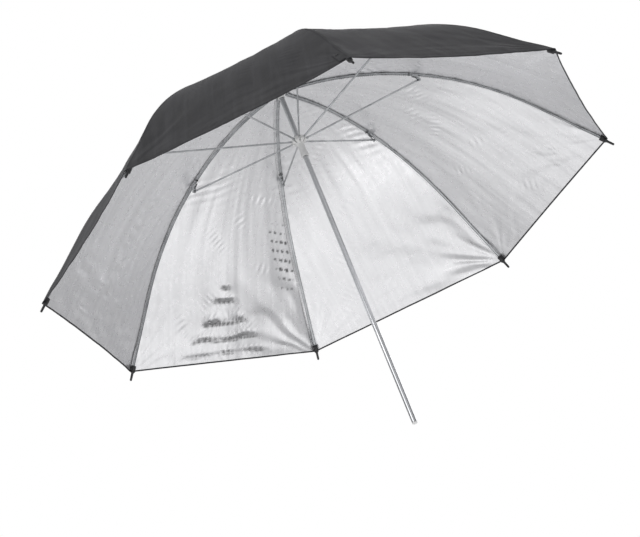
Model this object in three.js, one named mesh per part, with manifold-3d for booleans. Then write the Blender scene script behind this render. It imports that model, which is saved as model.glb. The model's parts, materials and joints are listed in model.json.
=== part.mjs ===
// A folding studio umbrella reflector: eight fluted steel ribs on a slim tubular shaft, held open by
// eight stretchers and a sliding runner, under a black canopy with a silver lining.
// Millimetres, +Z up. The origin is the centre of the shaft's free end, and the crown is above it.
// Ribs stand every 45 degrees from +X. Each is modelled in the XZ plane and turned into its place.

import * as THREE from 'three';
import { mergeVertices } from 'three/addons/utils/BufferGeometryUtils.js';
import Module from 'manifold-3d';

const wasm = await Module();
wasm.setup();

const DEG = Math.PI / 180;
const GAP = 0.3; // clearance between pieces that touch
const MERGE = 1e-5; // vertices closer than this are one

// Driving dimensions
const RIBS = 8;
const RIM_RADIUS = 458; // shaft axis to a corner of the hem
const RIM_Z = 359; // height of the hem's corners above the shaft's free end
const CROWN_RISE = 241.5; // rise of a rib's centre line from the rim to the crown
const RIB_FLAT = 41; // radius where a rib starts to curve
const RIB_END_SLOPE = 48 * DEG; // slope of a rib's straight end
const PIVOT_RADIUS = 9; // ring wires of the crown and the runner
const PIVOT_RISE = 2; // crown ring above a rib's centre line
const JOINT_RADIUS = 218.5; // where a stretcher meets its rib
const JOINT_DROP = 8; // stretcher pin below the rib's centre line

// Sections
const RIB_WIDTH = 5;
const RIB_HEIGHT = 3.4;
const RIB_WALL = 0.6;
const STRETCHER_RADIUS = 1.4;
const SHAFT_RADIUS = 4;
const SHAFT_WALL = 0.8;
const RING_WIRE = 0.8;
const PIN_RADIUS = 1.3;
const FABRIC = 1;
const TIP_SLEEVE = 11;
const TIP_SLEEVE_RADIUS = 3.8;
const TIP_PIN = 14;
const TIP_PIN_RADIUS = 2;

// Worked out from the driving dimensions
const SECTOR = 2 * Math.PI / RIBS;
const HALF_SECTOR = SECTOR / 2;
const CROWN_Z = RIM_Z + CROWN_RISE;
const CURVED_RUN = RIM_RADIUS - RIB_FLAT;
const RIB_ARC = (CROWN_RISE - Math.tan(RIB_END_SLOPE) * CURVED_RUN)
  / (1 - Math.cos(RIB_END_SLOPE) - Math.tan(RIB_END_SLOPE) * Math.sin(RIB_END_SLOPE));
const RIB_STRAIGHT = RIB_FLAT + RIB_ARC * Math.sin(RIB_END_SLOPE);
const CROWN_PIVOT_Z = CROWN_Z + PIVOT_RISE;
const JOINT_PIN_Z = ribZ(JOINT_RADIUS) - JOINT_DROP;
const RUNNER_PIVOT_Z = 2 * JOINT_PIN_Z - CROWN_PIVOT_Z;
const STRETCHER_RUN = JOINT_RADIUS - PIVOT_RADIUS;
const STRETCHER_RISE = JOINT_PIN_Z - RUNNER_PIVOT_Z;
const STRETCHER_LENGTH = Math.hypot(STRETCHER_RUN, STRETCHER_RISE);
const STRETCHER_ANGLE = Math.atan2(STRETCHER_RISE, STRETCHER_RUN);
const FABRIC_LIFT = RIB_HEIGHT / 2 + FABRIC / 2 + 1.5; // centre line of a rib to the middle of the cloth
const TIP_LIFT = TIP_SLEEVE_RADIUS + FABRIC / 2 + 0.6;

// Height of a rib's centre line at a radius: flat at the crown, then an arc, then straight to its tip.
function ribZ(radius) {
  if (radius <= RIB_FLAT) {
    return CROWN_Z;
  }
  if (radius <= RIB_STRAIGHT) {
    const run = radius - RIB_FLAT;
    return CROWN_Z - RIB_ARC + Math.sqrt(RIB_ARC ** 2 - run ** 2);
  }
  return RIM_Z + Math.tan(RIB_END_SLOPE) * (RIM_RADIUS - radius);
}

// Slope of a rib below the horizontal at a radius.
function ribSlope(radius) {
  if (radius <= RIB_FLAT) {
    return 0;
  }
  return Math.min(RIB_END_SLOPE, Math.asin((radius - RIB_FLAT) / RIB_ARC));
}

// ---- Solids ----

const group = new THREE.Group();

const finishes = {
  chrome: { color: 0xd4d6d8, roughness: 0.18, metalness: 1 },
  steel: { color: 0x9c9fa3, roughness: 0.35, metalness: 1 },
  white_plastic: { color: 0xe8e8e6, roughness: 0.4, metalness: 0 },
  black_plastic: { color: 0x1d1d20, roughness: 0.5, metalness: 0 },
  cloth: { color: 0x3a3a3e, roughness: 0.85, metalness: 0 },
};

function addMesh(name, geometry, finish, parent = group) {
  const mesh = new THREE.Mesh(geometry, new THREE.MeshStandardMaterial(finishes[finish]));
  mesh.name = name;
  parent.add(mesh);
  return mesh;
}

function toSolid(geometry) {
  const bare = geometry.clone();
  bare.deleteAttribute('normal');
  bare.deleteAttribute('uv');
  const merged = mergeVertices(bare, MERGE);
  const vertProperties = Float32Array.from(merged.attributes.position.array);
  const triVerts = Uint32Array.from(merged.index.array);
  return new wasm.Manifold(new wasm.Mesh({ numProp: 3, vertProperties, triVerts }));
}

function toGeometry(solid) {
  const mesh = solid.getMesh();
  const geometry = new THREE.BufferGeometry();
  geometry.setAttribute('position', new THREE.BufferAttribute(mesh.vertProperties, 3));
  geometry.setIndex(new THREE.BufferAttribute(mesh.triVerts, 1));
  return geometry;
}

function join(...geometries) {
  return toGeometry(geometries.map(toSolid).reduce((a, b) => a.add(b)));
}

function cut(geometry, ...tools) {
  return toGeometry(tools.map(toSolid).reduce((a, b) => a.subtract(b), toSolid(geometry)));
}

// A solid turned about Z from [radius, z] points, which go up on the outside.
function turned(profile, sides) {
  const points = profile.map(([radius, z]) => new THREE.Vector2(radius, z));
  return new THREE.LatheGeometry(points, sides).rotateX(Math.PI / 2);
}

function tube(inner, outer, low, high, sides) {
  return turned([[inner, low], [outer, low], [outer, high], [inner, high], [inner, low]], sides);
}

// A plate in the XZ plane, drawn with x as the radius and y as the height, centred on y = offset.
function uprightPlate(shape, thickness, offset = 0) {
  const settings = { depth: thickness, bevelEnabled: false, curveSegments: 5 };
  const plate = new THREE.ExtrudeGeometry(shape, settings);
  return plate.translate(0, 0, -thickness / 2).rotateX(Math.PI / 2).translate(0, offset, 0);
}

function circleShape(x, y, radius) {
  const shape = new THREE.Shape();
  shape.absarc(x, y, radius, 0, 2 * Math.PI, false);
  return shape;
}

function polygonShape(points) {
  return new THREE.Shape(points.map(([x, y]) => new THREE.Vector2(x, y)));
}

function crossPin(x, z, radius, length) {
  return uprightPlate(circleShape(x, z, radius), length);
}

function block(width, depth, height, x, y, z) {
  return new THREE.BoxGeometry(width, depth, height).translate(x, y, z);
}

// ---- Shaft, its plug, the latch and the stop pin ----

const SHAFT_ABOVE_CROWN = 10;
const SHAFT_TOP_Z = CROWN_PIVOT_Z + SHAFT_ABOVE_CROWN;
const SHAFT_BORE = SHAFT_RADIUS - SHAFT_WALL;
const PLUG_FLANGE = 2;
const PLUG_STUB = 14;
const PLUG_CHAMFER = 0.4;
const ROUND_SIDES = 32; // sides of the tube and of what turns about it
const PIN_SIDES = 12;
const RUNNER_SLEEVE = 30; // from the ring wire down to the sleeve's end
const RUNNER_LOW_Z = RUNNER_PIVOT_Z - RUNNER_SLEEVE;
const LATCH_ANGLE = SECTOR * 2.5; // between the third and fourth ribs
const LATCH_NOSE = 1.9; // how far the latch stands out of the shaft
const LATCH_THICK = 1;
const LATCH_LENGTH = 19.4;
const LATCH_BACK = -1; // the spring's back, across the tube's axis
const LATCH_ROOT = 1.2; // the spring's front at its foot
const LATCH_SHELF = 0.6; // how far in the nose's flat top runs
const LATCH_NOSE_HEIGHT = 2;
const LATCH_BACK_DROP = 6; // from the nose's top to the top of the back
const LATCH_HIGH_Z = RUNNER_LOW_Z - 2 * GAP;
const LATCH_LOW_Z = LATCH_HIGH_Z - LATCH_LENGTH;
const SLOT_WIDTH = 1.8;
const SLOT_END_ROOM = 1;
const STOP_PIN_RADIUS = 1;
const STOP_PIN_RISE = 8; // above the runner's ring wire
const STOP_PIN_PROUD = 1.2; // at each end
const STOP_PIN_Z = RUNNER_PIVOT_Z + STOP_PIN_RISE;

// Both tools lie along +X and are turned to where the latch and the pin are.
function shaftTube() {
  const slotHeight = LATCH_LENGTH + 2 * SLOT_END_ROOM;
  const slotMiddle = (LATCH_LOW_Z + LATCH_HIGH_Z) / 2;
  const slot = block(SHAFT_RADIUS, SLOT_WIDTH, slotHeight, SHAFT_RADIUS, 0, slotMiddle);
  const holeRadius = STOP_PIN_RADIUS + GAP;
  const hole = new THREE.CylinderGeometry(holeRadius, holeRadius, 4 * SHAFT_RADIUS, PIN_SIDES);
  hole.translate(0, 0, STOP_PIN_Z);
  const wall = tube(SHAFT_BORE, SHAFT_RADIUS, PLUG_FLANGE + GAP, SHAFT_TOP_Z, ROUND_SIDES);
  return cut(wall, slot.rotateZ(LATCH_ANGLE), hole.rotateZ(LATCH_ANGLE));
}

function shaftPlug() {
  const stub = SHAFT_BORE - GAP;
  return turned([[0, 0], [SHAFT_RADIUS - PLUG_CHAMFER, 0], [SHAFT_RADIUS, PLUG_CHAMFER],
    [SHAFT_RADIUS, PLUG_FLANGE], [stub, PLUG_FLANGE], [stub, PLUG_STUB], [0, PLUG_STUB]], ROUND_SIDES);
}

// A flat spring inside the tube, with a nose that slopes out under the runner.
function latch() {
  const nose = SHAFT_RADIUS + LATCH_NOSE;
  const shape = polygonShape([[LATCH_BACK, LATCH_LOW_Z], [LATCH_ROOT, LATCH_LOW_Z],
    [nose, LATCH_HIGH_Z - LATCH_NOSE_HEIGHT], [nose, LATCH_HIGH_Z], [LATCH_SHELF, LATCH_HIGH_Z],
    [LATCH_BACK, LATCH_HIGH_Z - LATCH_BACK_DROP]]);
  return uprightPlate(shape, LATCH_THICK).rotateZ(LATCH_ANGLE);
}

function stopPin() {
  const length = 2 * (SHAFT_RADIUS + STOP_PIN_PROUD);
  const pin = new THREE.CylinderGeometry(STOP_PIN_RADIUS, STOP_PIN_RADIUS, length, PIN_SIDES);
  return pin.translate(0, 0, STOP_PIN_Z).rotateZ(LATCH_ANGLE);
}

addMesh('shaft_tube', shaftTube(), 'chrome');
addMesh('shaft_end_plug', shaftPlug(), 'black_plastic');
addMesh('catch_spring', latch(), 'steel');
addMesh('stop_pin', stopPin(), 'steel');

// ---- Crown notch, runner and their ring wires ----

const HUB_RADIUS = 12;
const HUB_HALF = 3.5;
const HUB_CHAMFER = 0.8;
const HUB_SLOT = 2.4;
const HUB_SLOT_DEPTH = 6.2; // radius of the slots' floor
const SLIDE_FIT = 0.3;
const HUB_BORE = SHAFT_RADIUS + SLIDE_FIT;
const NOTCH_COLLAR_RADIUS = 5.6;
const NOTCH_COLLAR = 9;
const RUNNER_SLEEVE_RADIUS = 5.7;
const RUNNER_LIP_RADIUS = 6.3;
const RUNNER_LIP = 3;
const RUNNER_LIP_END = 4; // height where the lip has run out into the sleeve
const RUNNER_SHOULDER = 3; // height of the cone under the runner's hub
const RING_WIRE_SIDES = 6;
const KEYWAY_WIDTH = 2.2;
const KEYWAY_RADIUS = 6.3;
const KEYWAY_FLOOR = 2; // radius from which the keyway's tool reaches outward
const KEYWAY_OVERRUN = 2; // at each end
const HUB_OVERRUN = 2; // how far the slots' tools reach past the hub

// Slots for the eyes, and a round groove that opens upward, where the ring wire lies.
function hubCuts(pivotZ) {
  const cuts = [];
  const reach = HUB_RADIUS + HUB_OVERRUN - HUB_SLOT_DEPTH;
  for (let k = 0; k < RIBS; k += 1) {
    const slot = block(reach, HUB_SLOT, 4 * HUB_HALF, HUB_SLOT_DEPTH + reach / 2, 0, pivotZ);
    cuts.push(slot.rotateZ(k * SECTOR));
  }
  const wire = RING_WIRE + GAP;
  const top = pivotZ + 2 * HUB_HALF;
  cuts.push(tube(PIVOT_RADIUS - wire, PIVOT_RADIUS + wire, pivotZ - wire, top, ROUND_SIDES));
  return cuts;
}

function notch() {
  const low = CROWN_PIVOT_Z - HUB_HALF;
  const high = CROWN_PIVOT_Z + HUB_HALF;
  const body = turned([[HUB_BORE, low - NOTCH_COLLAR], [NOTCH_COLLAR_RADIUS, low - NOTCH_COLLAR],
    [NOTCH_COLLAR_RADIUS, low], [HUB_RADIUS - HUB_CHAMFER, low], [HUB_RADIUS, low + HUB_CHAMFER],
    [HUB_RADIUS, high - HUB_CHAMFER], [HUB_RADIUS - HUB_CHAMFER, high], [HUB_BORE, high],
    [HUB_BORE, low - NOTCH_COLLAR]], ROUND_SIDES);
  return cut(body, ...hubCuts(CROWN_PIVOT_Z));
}

// The runner's sleeve slides on the shaft. Its keyway passes over the latch and the stop pin.
function runner() {
  const low = RUNNER_PIVOT_Z - HUB_HALF;
  const high = RUNNER_PIVOT_Z + HUB_HALF;
  const body = turned([[HUB_BORE, RUNNER_LOW_Z], [RUNNER_LIP_RADIUS, RUNNER_LOW_Z],
    [RUNNER_LIP_RADIUS, RUNNER_LOW_Z + RUNNER_LIP],
    [RUNNER_SLEEVE_RADIUS, RUNNER_LOW_Z + RUNNER_LIP_END],
    [RUNNER_SLEEVE_RADIUS, low - RUNNER_SHOULDER], [HUB_RADIUS - HUB_CHAMFER, low],
    [HUB_RADIUS, low + HUB_CHAMFER], [HUB_RADIUS, high - HUB_CHAMFER],
    [HUB_RADIUS - HUB_CHAMFER, high], [HUB_BORE, high], [HUB_BORE, RUNNER_LOW_Z]], ROUND_SIDES);
  const middle = (RUNNER_LOW_Z + high) / 2;
  const length = high - RUNNER_LOW_Z + 2 * KEYWAY_OVERRUN;
  const depth = KEYWAY_RADIUS - KEYWAY_FLOOR;
  const keyway = block(depth, KEYWAY_WIDTH, length, KEYWAY_RADIUS - depth / 2, 0, middle);
  return cut(body, ...hubCuts(RUNNER_PIVOT_Z), keyway.rotateZ(LATCH_ANGLE));
}

function ringWire(pivotZ) {
  const ring = new THREE.TorusGeometry(PIVOT_RADIUS, RING_WIRE, RING_WIRE_SIDES, ROUND_SIDES);
  return ring.translate(0, 0, pivotZ);
}

addMesh('crown_notch', notch(), 'white_plastic');
addMesh('crown_ring', ringWire(CROWN_PIVOT_Z), 'steel');
addMesh('runner', runner(), 'white_plastic');
addMesh('runner_ring', ringWire(RUNNER_PIVOT_Z), 'steel');

// ---- Cap and washer that hold the cloth on the crown ----

const CLOTH_TOP_Z = CROWN_PIVOT_Z + HUB_HALF + GAP + FABRIC / 2;
const WASHER_LOW_Z = CLOTH_TOP_Z + FABRIC / 2 + GAP;
const WASHER_THICK = 1;
const WASHER_RADIUS = 13;
const CAP_LOW_Z = WASHER_LOW_Z + WASHER_THICK + GAP;
const CAP_RADIUS = 6.5;
const CAP_SKIRT = 5.5; // height where the cap's dome starts
const CAP_DOME_STEPS = 5;
const CAP_SIDES = 24;

function topCap() {
  const domeZ = CAP_LOW_Z + CAP_SKIRT;
  const profile = [[0, SHAFT_TOP_Z + GAP], [HUB_BORE, SHAFT_TOP_Z + GAP], [HUB_BORE, CAP_LOW_Z],
    [CAP_RADIUS, CAP_LOW_Z], [CAP_RADIUS, domeZ]];
  for (let i = 1; i < CAP_DOME_STEPS; i += 1) {
    const angle = (i / CAP_DOME_STEPS) * (Math.PI / 2);
    profile.push([CAP_RADIUS * Math.cos(angle), domeZ + CAP_RADIUS * Math.sin(angle)]);
  }
  profile.push([0, domeZ + CAP_RADIUS]);
  return turned(profile, CAP_SIDES);
}

const washer = tube(HUB_BORE, WASHER_RADIUS, WASHER_LOW_Z, WASHER_LOW_Z + WASHER_THICK, ROUND_SIDES);
addMesh('top_washer', washer, 'black_plastic');
addMesh('top_cap', topCap(), 'black_plastic');

// ---- Ribs ----

const TONGUE = 1.2;
const EYE_RADIUS = 2.4;
const CHANNEL_START = 17;
const RIB_SPLIT = 0.25; // half the gap where a rib's two lengths meet
const TONGUE_ROOT = 4; // how far the tongue runs into the channel
const TONGUE_HALF_HEIGHT = 1.4;
const INNER_STEPS = 7;
const OUTER_STEPS = 11;
const CHEEK_REACH = 9; // from the pin back along the rib
const CHEEK_TOP = 4; // heights above the channel's open edge
const CHEEK_HEEL = 2;
const CHEEK_FRONT_TOP = 1.6;
const CHEEK_FRONT_LOW = 0.6;
const CHEEK_FRONT = 1.2; // where the cheek stops short of the joint
const CHEEK_TOE = 1.4; // half width of the flat under the pin
const CHEEK_TOE_DROP = 1.9;
const PIN_PROUD = 0.4; // of each cheek
const TIP_RUN = TIP_SLEEVE * Math.cos(RIB_END_SLOPE);
const RIB_END = RIM_RADIUS - TIP_RUN / 3;

class RibLine extends THREE.Curve {
  constructor(from, to) {
    super();
    this.from = from;
    this.to = to;
  }

  getPoint(t, target = new THREE.Vector3()) {
    const radius = THREE.MathUtils.lerp(this.from, this.to, t);
    return target.set(radius, 0, ribZ(radius));
  }

  // Frames that keep the channel's back up all the way: across the rib, then toward the shaft.
  computeFrenetFrames(segments) {
    const frames = { tangents: [], normals: [], binormals: [] };
    for (let i = 0; i <= segments; i += 1) {
      const tangent = this.getTangentAt(i / segments);
      const across = new THREE.Vector3(0, -1, 0);
      frames.tangents.push(tangent);
      frames.normals.push(across);
      frames.binormals.push(new THREE.Vector3().crossVectors(tangent, across));
    }
    return frames;
  }
}

// A channel of sheet steel that is open below, along the rib's line.
function channel(from, to, steps) {
  const w = RIB_WIDTH / 2;
  const h = RIB_HEIGHT / 2;
  const wall = RIB_WALL;
  const section = polygonShape([[-w, -h], [w, -h], [w, h], [w - wall, h], [w - wall, wall - h],
    [wall - w, wall - h], [wall - w, h], [-w, h]]);
  const extrudePath = new RibLine(from, to);
  return new THREE.ExtrudeGeometry(section, { steps, bevelEnabled: false, extrudePath });
}

// The flattened end of a rib, with the eye that turns on the crown's ring wire.
function ribTongue() {
  const root = CHANNEL_START + TONGUE_ROOT;
  const half = TONGUE_HALF_HEIGHT;
  const bar = polygonShape([[PIVOT_RADIUS, CROWN_PIVOT_Z - EYE_RADIUS], [root, CROWN_Z - half],
    [root, CROWN_Z + half], [PIVOT_RADIUS, CROWN_PIVOT_Z + EYE_RADIUS]]);
  const eye = uprightPlate(circleShape(PIVOT_RADIUS, CROWN_PIVOT_Z, EYE_RADIUS), TONGUE);
  const plate = join(uprightPlate(bar, TONGUE), eye);
  return cut(plate, crossPin(PIVOT_RADIUS, CROWN_PIVOT_Z, RING_WIRE + GAP, 4 * TONGUE));
}

// One cheek of the bracket that carries the stretcher's pin.
function cheek(side) {
  const x = JOINT_RADIUS;
  const low = ribZ(x) - RIB_HEIGHT / 2;
  const toe = JOINT_PIN_Z - CHEEK_TOE_DROP;
  const shape = polygonShape([[x - CHEEK_REACH, low + CHEEK_TOP], [x - CHEEK_REACH, low + CHEEK_HEEL],
    [x - EYE_RADIUS, JOINT_PIN_Z], [x - CHEEK_TOE, toe], [x + CHEEK_TOE, toe],
    [x + EYE_RADIUS, JOINT_PIN_Z], [x - CHEEK_FRONT, low + CHEEK_FRONT_LOW],
    [x - CHEEK_FRONT, low + CHEEK_FRONT_TOP]]);
  return uprightPlate(shape, RIB_WALL, side * (RIB_WIDTH - RIB_WALL) / 2);
}

function innerRib() {
  const body = channel(CHANNEL_START, JOINT_RADIUS - RIB_SPLIT, INNER_STEPS);
  const pin = crossPin(JOINT_RADIUS, JOINT_PIN_Z, PIN_RADIUS, RIB_WIDTH + 2 * PIN_PROUD);
  return join(body, ribTongue(), cheek(1), cheek(-1), pin);
}

function outerRib() {
  return channel(JOINT_RADIUS + RIB_SPLIT, RIB_END, OUTER_STEPS);
}

// ---- Stretchers: a round wire with a flat eye at each end ----

const STRETCHER_EYE = 1.6;
const WIRE_START = 5.2;
const WIRE_SIDES = 10;
const NECK_OVERLAP = 2; // of the flat end and the round wire

function stretcherEye(x, hole) {
  const toMiddle = x > 0 ? -1 : 1;
  const end = x + toMiddle * (WIRE_START + NECK_OVERLAP);
  const low = Math.min(x, end);
  const high = Math.max(x, end);
  const neck = polygonShape([[low, -STRETCHER_RADIUS], [high, -STRETCHER_RADIUS],
    [high, STRETCHER_RADIUS], [low, STRETCHER_RADIUS]]);
  const eye = uprightPlate(circleShape(x, 0, EYE_RADIUS), STRETCHER_EYE);
  return cut(join(uprightPlate(neck, STRETCHER_EYE), eye), crossPin(x, 0, hole, 4 * STRETCHER_EYE));
}

function stretcher() {
  const length = STRETCHER_LENGTH - 2 * WIRE_START;
  const wire = new THREE.CylinderGeometry(STRETCHER_RADIUS, STRETCHER_RADIUS, length, WIRE_SIDES);
  wire.rotateZ(-Math.PI / 2).translate(STRETCHER_LENGTH / 2, 0, 0);
  return join(wire, stretcherEye(0, RING_WIRE + GAP), stretcherEye(STRETCHER_LENGTH, PIN_RADIUS + GAP));
}

// ---- Tips: a sleeve over the rib's end and a pin through the corner of the hem ----

const TIP_BORE = 3.3;
const TIP_WALL_END = 1; // the bore stops this far short of the sleeve's end
const TIP_CHAMFER = 0.6;
const TIP_PIN_ROOT = 0.8; // height where the shoulder meets the pin
const TIP_PIN_CHAMFER = 0.8;
const TIP_PIN_POINT = 1;
const TIP_SIDES = 10;

function tip() {
  return turned([[0, -TIP_WALL_END], [TIP_BORE, -TIP_WALL_END], [TIP_BORE, -TIP_SLEEVE],
    [TIP_SLEEVE_RADIUS, -TIP_SLEEVE], [TIP_SLEEVE_RADIUS, -TIP_CHAMFER],
    [TIP_SLEEVE_RADIUS - TIP_CHAMFER, 0], [TIP_PIN_RADIUS, TIP_PIN_ROOT],
    [TIP_PIN_RADIUS, TIP_PIN - TIP_PIN_POINT], [TIP_PIN_RADIUS - TIP_PIN_CHAMFER, TIP_PIN],
    [0, TIP_PIN]], TIP_SIDES);
}

// ---- Canopy: a sector on each rib, from the middle of one gore to the middle of the next ----

const CLOTH_HOLE = 5;
const CROWN_FLAT = 14; // the cloth lies on the notch out to here
const CROWN_FOOT = 28; // and on the ribs from here
const TIP_RISE_START = RIM_RADIUS - 45;
const TIP_RISE_END = RIM_RADIUS - 10;
const STRAP_WIDTH = 10;
const STRAP_RUN = 28;
const STRAP_SIDE = -5; // from the rib to the strap's near edge
const STRAP_LIFT = FABRIC + 2 * GAP; // above the canopy's cloth
const STRAP_ROWS = 3;
const INNER_COVER_ROWS = 5;
const OUTER_COVER_ROWS = 9;
const INNER_COVER_COLUMNS = 4;
const OUTER_COVER_COLUMNS = 6;

// The middle of the cloth over a rib, as [radius, z], raised by an extra lift along its normal.
function clothLine(radius, extra) {
  const ease = THREE.MathUtils.smoothstep;
  const toTip = ease(radius, TIP_RISE_START, TIP_RISE_END);
  const lift = THREE.MathUtils.lerp(FABRIC_LIFT, TIP_LIFT, toTip) + extra;
  const slope = ribSlope(radius);
  const onRib = [radius + lift * Math.sin(slope), ribZ(radius) + lift * Math.cos(slope)];
  const share = ease(radius, CROWN_FLAT, CROWN_FOOT);
  return [onRib[0], THREE.MathUtils.lerp(CLOTH_TOP_Z + extra, onRib[1], share)];
}

// Between two ribs the cloth is pulled straight, so its level lines are the sides of an octagon.
function clothPoint(radius, turn, extra) {
  const [r, z] = clothLine(radius, extra);
  const reach = r * Math.cos(HALF_SECTOR) / Math.cos(HALF_SECTOR - Math.abs(turn));
  return [reach * Math.cos(turn), reach * Math.sin(turn), z];
}

function spread(from, to, count) {
  return Array.from({ length: count + 1 }, (_, i) => THREE.MathUtils.lerp(from, to, i / count));
}

// A closed sheet over the radii given, between the two angles that edges(radius) gives.
function clothPatch({ radii, columns, edges, lift = 0 }) {
  const rows = radii.length - 1;
  const positions = [];
  const index = [];
  const at = (layer, i, j) => (layer * (rows + 1) + i) * (columns + 1) + j;
  for (const layer of [0, 1]) {
    for (const radius of radii) {
      const [first, last] = edges(radius);
      for (let j = 0; j <= columns; j += 1) {
        const turn = THREE.MathUtils.lerp(first, last, j / columns);
        positions.push(...clothPoint(radius, turn, lift + (layer - 0.5) * FABRIC));
      }
    }
  }
  const quad = (a, b, c, d) => index.push(a, b, c, a, c, d);
  for (let i = 0; i < rows; i += 1) {
    for (let j = 0; j < columns; j += 1) {
      quad(at(1, i, j), at(1, i + 1, j), at(1, i + 1, j + 1), at(1, i, j + 1));
      quad(at(0, i, j), at(0, i, j + 1), at(0, i + 1, j + 1), at(0, i + 1, j));
    }
    quad(at(1, i, 0), at(0, i, 0), at(0, i + 1, 0), at(1, i + 1, 0));
    quad(at(1, i, columns), at(1, i + 1, columns), at(0, i + 1, columns), at(0, i, columns));
  }
  for (let j = 0; j < columns; j += 1) {
    quad(at(1, 0, j), at(1, 0, j + 1), at(0, 0, j + 1), at(0, 0, j));
    quad(at(1, rows, j), at(0, rows, j), at(0, rows, j + 1), at(1, rows, j + 1));
  }
  const geometry = new THREE.BufferGeometry();
  geometry.setAttribute('position', new THREE.Float32BufferAttribute(positions, 3));
  geometry.setIndex(index);
  return geometry;
}

function sectorEdges(radius) {
  const edge = HALF_SECTOR - Math.asin(GAP / 2 / (radius * Math.cos(HALF_SECTOR)));
  return [-edge, edge];
}

function strapEdges(radius) {
  return [(STRAP_SIDE - STRAP_WIDTH) / radius, STRAP_SIDE / radius];
}

const innerRadii = [CLOTH_HOLE, CROWN_FLAT, (CROWN_FLAT + CROWN_FOOT) / 2,
  ...spread(CROWN_FOOT, JOINT_RADIUS - RIB_SPLIT, INNER_COVER_ROWS)];
const outerRadii = spread(JOINT_RADIUS + RIB_SPLIT, RIM_RADIUS, OUTER_COVER_ROWS);
const strapRadii = spread(RIM_RADIUS - STRAP_RUN, RIM_RADIUS, STRAP_ROWS);
const innerCover = clothPatch({ radii: innerRadii, columns: INNER_COVER_COLUMNS, edges: sectorEdges });
const outerCover = clothPatch({ radii: outerRadii, columns: OUTER_COVER_COLUMNS, edges: sectorEdges });
const strap = clothPatch({ radii: strapRadii, columns: 1, edges: strapEdges, lift: STRAP_LIFT });

// ---- The eight ribs with what they carry ----

const STRAP_RIB = 7;
const ribGeometry = innerRib();
const ribEndGeometry = outerRib();
const stretcherGeometry = stretcher();
const tipGeometry = tip();

for (let k = 1; k <= RIBS; k += 1) {
  const spoke = new THREE.Group();
  spoke.rotation.z = (k - 1) * SECTOR;
  group.add(spoke);
  addMesh(`rib_${k}_inner`, ribGeometry.clone(), 'steel', spoke);
  addMesh(`rib_${k}_outer`, ribEndGeometry.clone(), 'steel', spoke);
  addMesh(`cover_${k}_inner`, innerCover.clone(), 'cloth', spoke);
  addMesh(`cover_${k}_outer`, outerCover.clone(), 'cloth', spoke);
  const arm = addMesh(`stretcher_${k}`, stretcherGeometry.clone(), 'chrome', spoke);
  arm.position.set(PIVOT_RADIUS, 0, RUNNER_PIVOT_Z);
  arm.rotation.y = -STRETCHER_ANGLE;
  const end = addMesh(`tip_${k}`, tipGeometry.clone(), 'black_plastic', spoke);
  end.position.set(RIM_RADIUS, 0, RIM_Z);
  end.rotation.y = Math.PI / 2 + RIB_END_SLOPE;
  if (k === STRAP_RIB) {
    addMesh('closing_strap', strap.clone(), 'cloth', spoke);
  }
}

export default group;
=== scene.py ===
import json
import math

import bmesh
import bpy
import numpy as np
from mathutils import Matrix, Vector


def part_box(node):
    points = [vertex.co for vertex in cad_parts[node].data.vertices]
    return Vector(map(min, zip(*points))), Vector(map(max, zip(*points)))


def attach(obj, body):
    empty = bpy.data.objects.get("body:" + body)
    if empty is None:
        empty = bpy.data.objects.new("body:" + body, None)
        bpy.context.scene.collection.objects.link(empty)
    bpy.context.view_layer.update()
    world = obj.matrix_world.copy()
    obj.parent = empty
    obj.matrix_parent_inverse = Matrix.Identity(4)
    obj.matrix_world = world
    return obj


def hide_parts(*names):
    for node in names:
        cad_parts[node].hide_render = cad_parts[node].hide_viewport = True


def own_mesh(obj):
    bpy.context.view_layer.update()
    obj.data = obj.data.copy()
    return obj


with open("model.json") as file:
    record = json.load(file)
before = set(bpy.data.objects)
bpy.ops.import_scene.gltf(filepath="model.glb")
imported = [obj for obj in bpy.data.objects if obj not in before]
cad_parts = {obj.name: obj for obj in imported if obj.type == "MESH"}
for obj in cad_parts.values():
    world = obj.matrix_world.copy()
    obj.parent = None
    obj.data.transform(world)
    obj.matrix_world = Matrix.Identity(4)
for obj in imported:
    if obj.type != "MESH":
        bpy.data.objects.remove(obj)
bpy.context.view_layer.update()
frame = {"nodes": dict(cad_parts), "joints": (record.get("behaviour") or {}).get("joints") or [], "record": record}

# An umbrella reflector. Metres, in the CAD's frame: +Z up the shaft, ribs every 45 degrees from +X.

RIBS = 8
SECTOR = 2 * math.pi / RIBS
HALF = SECTOR / 2

# The rib's line: flat at the crown, an arc, then straight to its tip
RIM_RADIUS = 0.458
RIM_Z = 0.359
CROWN_RISE = 0.2415
RIB_FLAT = 0.041
END_SLOPE = math.radians(48)
JOINT_RADIUS = 0.2185
RIB_HEIGHT = 0.0034
TIP_SLEEVE_RADIUS = 0.0038

CROWN_Z = RIM_Z + CROWN_RISE
CURVED_RUN = RIM_RADIUS - RIB_FLAT
RIB_ARC = ((CROWN_RISE - math.tan(END_SLOPE) * CURVED_RUN)
           / (1 - math.cos(END_SLOPE) - math.tan(END_SLOPE) * math.sin(END_SLOPE)))
RIB_STRAIGHT = RIB_FLAT + RIB_ARC * math.sin(END_SLOPE)

joints = {j["name"]: j for j in frame["joints"]}
CROWN_PIVOT_Z = joints["rib_1_fold"]["pos_m"][2]
JOINT_PIN_Z = joints["stretcher_1_pin"]["pos_m"][2]


def ease(x, low, high):
    t = np.clip((x - low) / (high - low), 0, 1)
    return t * t * (3 - 2 * t)


def rib_slope(radius):
    return np.minimum(END_SLOPE, np.arcsin(np.clip((radius - RIB_FLAT) / RIB_ARC, 0, 1)))


def rib_z(radius):
    """Height of a rib's centre line at each radius."""
    run = np.clip(radius - RIB_FLAT, 0, RIB_STRAIGHT - RIB_FLAT)
    beyond = np.clip(radius - RIB_STRAIGHT, 0, None)
    return CROWN_Z - RIB_ARC + np.sqrt(RIB_ARC ** 2 - run ** 2) - math.tan(END_SLOPE) * beyond


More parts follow.
